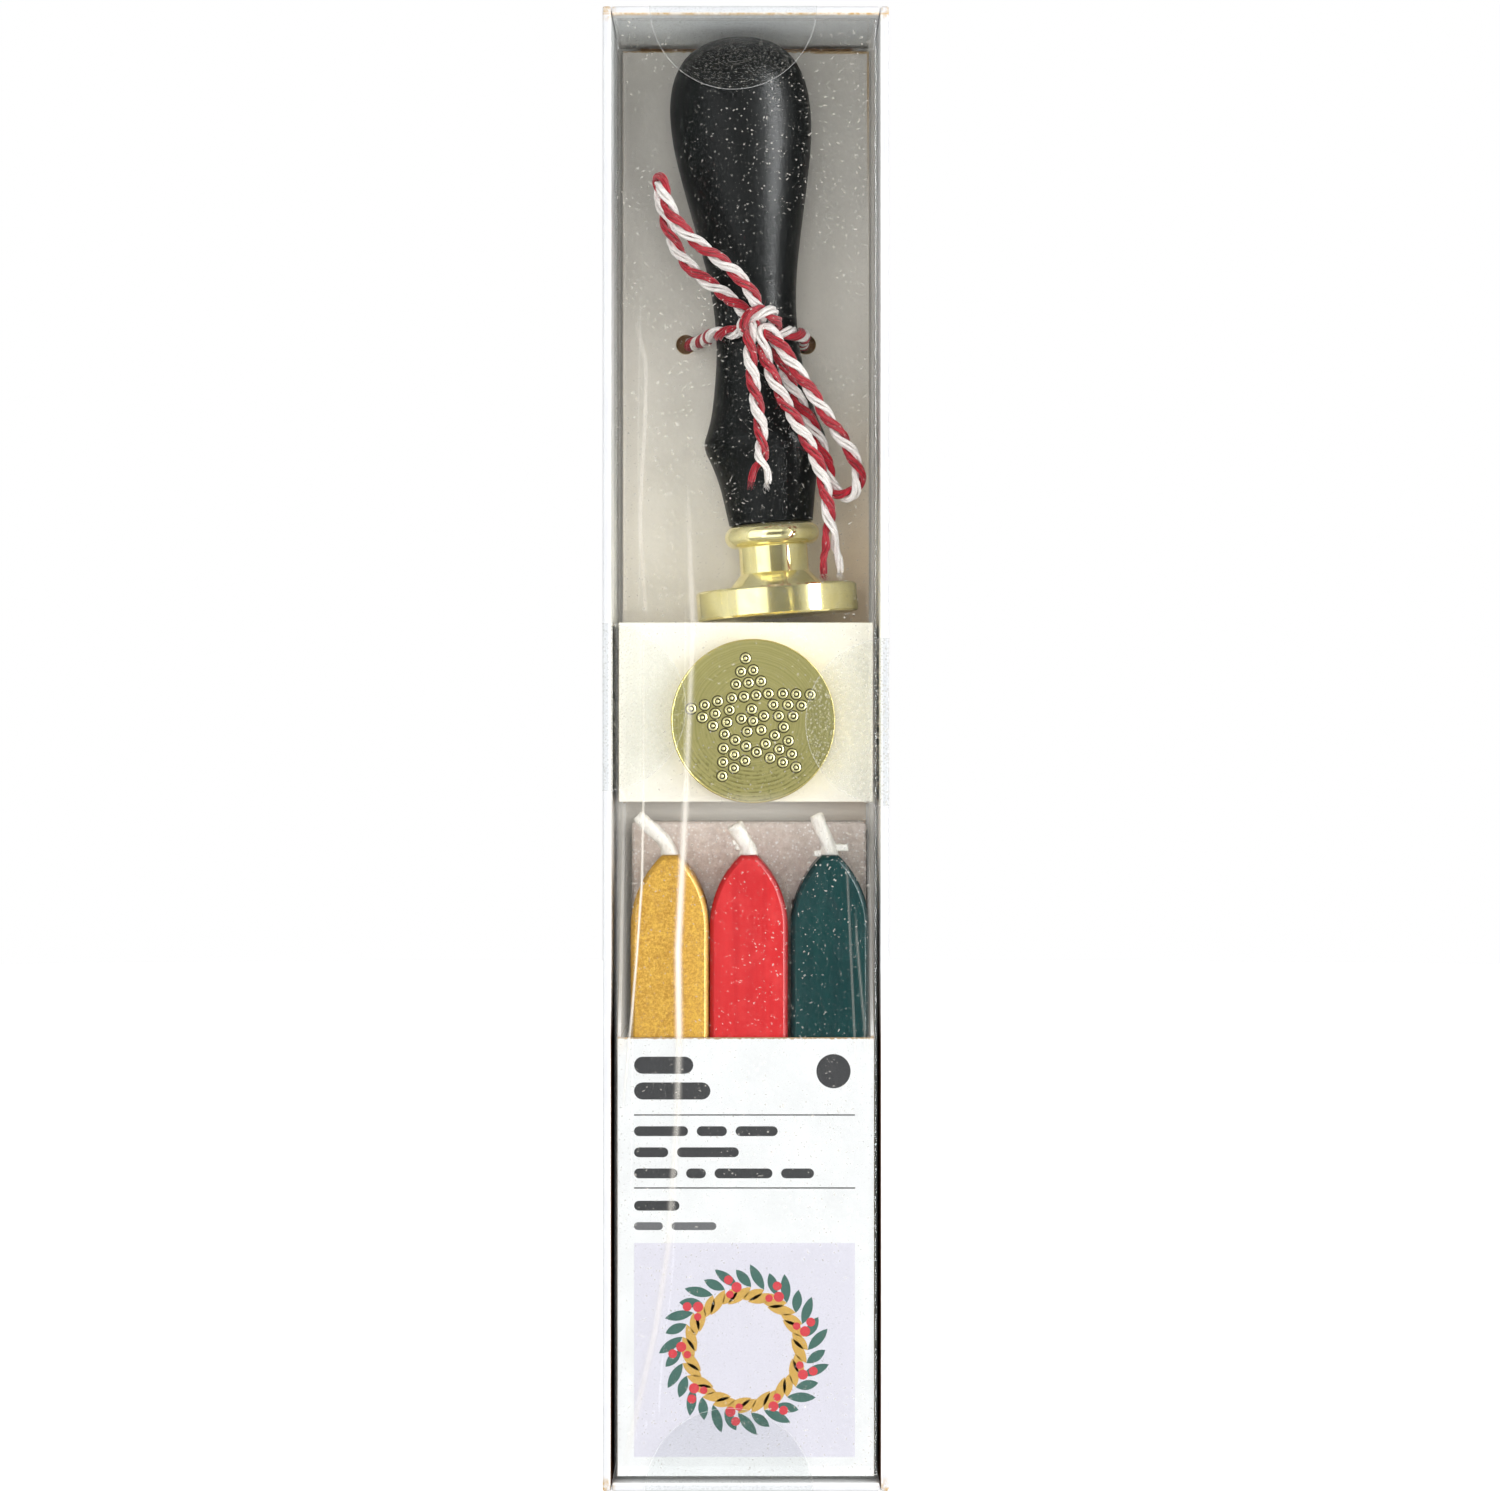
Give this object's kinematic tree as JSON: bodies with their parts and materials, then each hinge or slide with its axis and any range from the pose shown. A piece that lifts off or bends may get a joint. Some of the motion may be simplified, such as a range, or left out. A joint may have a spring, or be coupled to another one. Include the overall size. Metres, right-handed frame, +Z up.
{
  "type": "wax seal set box",
  "caption": "Tall white carton tray with an inset clear cover and round clear seals, holding a tied seal stamp, a spare brass die on a card platform and wax sticks in a pocket.",
  "frame": {"origin": "on the surface the box stands on, under the middle of the box", "axes": "+Z up along the box, +Y towards its back, +X to the right as seen from the clear front"},
  "size_m": [0.0434, 0.0318, 0.2252],
  "materials": {
    "white_board": "matte",
    "clear_sheet": "gloss",
    "seal_film": "satin",
    "insert_card": "matte",
    "foam": "matte",
    "gold_wax": "satin",
    "red_wax": "satin",
    "green_wax": "satin",
    "wick_cotton": "matte",
    "black_wood": "satin",
    "stud_steel": "satin",
    "die_brass": "polished",
    "twine_cotton": "matte"
  },
  "bodies": {
    "box": {"outer_tray": "white_board", "backing_card": "insert_card", "die_platform": "insert_card", "stick_pocket": "insert_card", "foam_pad": "foam", "twine_tie": "twine_cotton", "twine_knot": "twine_cotton", "twine_bow_upper": "twine_cotton", "twine_bow_lower": "twine_cotton", "twine_tail_long": "twine_cotton", "twine_tail_short": "twine_cotton"},
    "cover": {"cover_window": "clear_sheet", "cover_side_left": "clear_sheet", "cover_side_right": "clear_sheet", "cover_end_top": "clear_sheet", "cover_end_bottom": "clear_sheet", "seal_top": "seal_film", "seal_bottom": "seal_film", "seal_left": "seal_film", "seal_right": "seal_film"},
    "handle": {"stamp_handle": "black_wood", "handle_stud": "stud_steel"},
    "die": {"stamp_die": "die_brass"},
    "spare": {"spare_die": "die_brass"},
    "gold_stick": {"wax_stick_gold": "gold_wax", "wick_gold": "wick_cotton"},
    "red_stick": {"wax_stick_red": "red_wax", "wick_red": "wick_cotton"},
    "green_stick": {"wax_stick_green": "green_wax", "wick_green": "wick_cotton"}
  },
  "joints": [
    {"name": "cover_lift", "type": "slide", "parent": "box", "child": "cover", "axis": [0, -1, 0], "range_m": [0, 0.045]},
    {"name": "stamp_turn", "type": "hinge", "parent": "box", "child": "handle", "pos_m": [0.005, -0.00065, 0.13314], "axis": [-0.075, 0, 0.9972], "continuous": true},
    {"name": "die_unscrew", "type": "hinge", "parent": "handle", "child": "die", "pos_m": [0.005, -0.00065, 0.13314], "axis": [-0.075, 0, 0.9972], "range_deg": [-180, 0]},
    {"name": "spare_turn", "type": "hinge", "parent": "box", "child": "spare", "pos_m": [0.0011, -0.01385, 0.1168], "axis": [0, 1, 0], "continuous": true},
    {"name": "gold_slide", "type": "slide", "parent": "box", "child": "gold_stick", "axis": [0, 0, 1], "range_m": [0, 0.0012]},
    {"name": "red_slide", "type": "slide", "parent": "box", "child": "red_stick", "axis": [0, 0, 1], "range_m": [0, 0.0012]},
    {"name": "green_slide", "type": "slide", "parent": "box", "child": "green_stick", "axis": [0, 0, 1], "range_m": [0, 0.0012]}
  ]
}
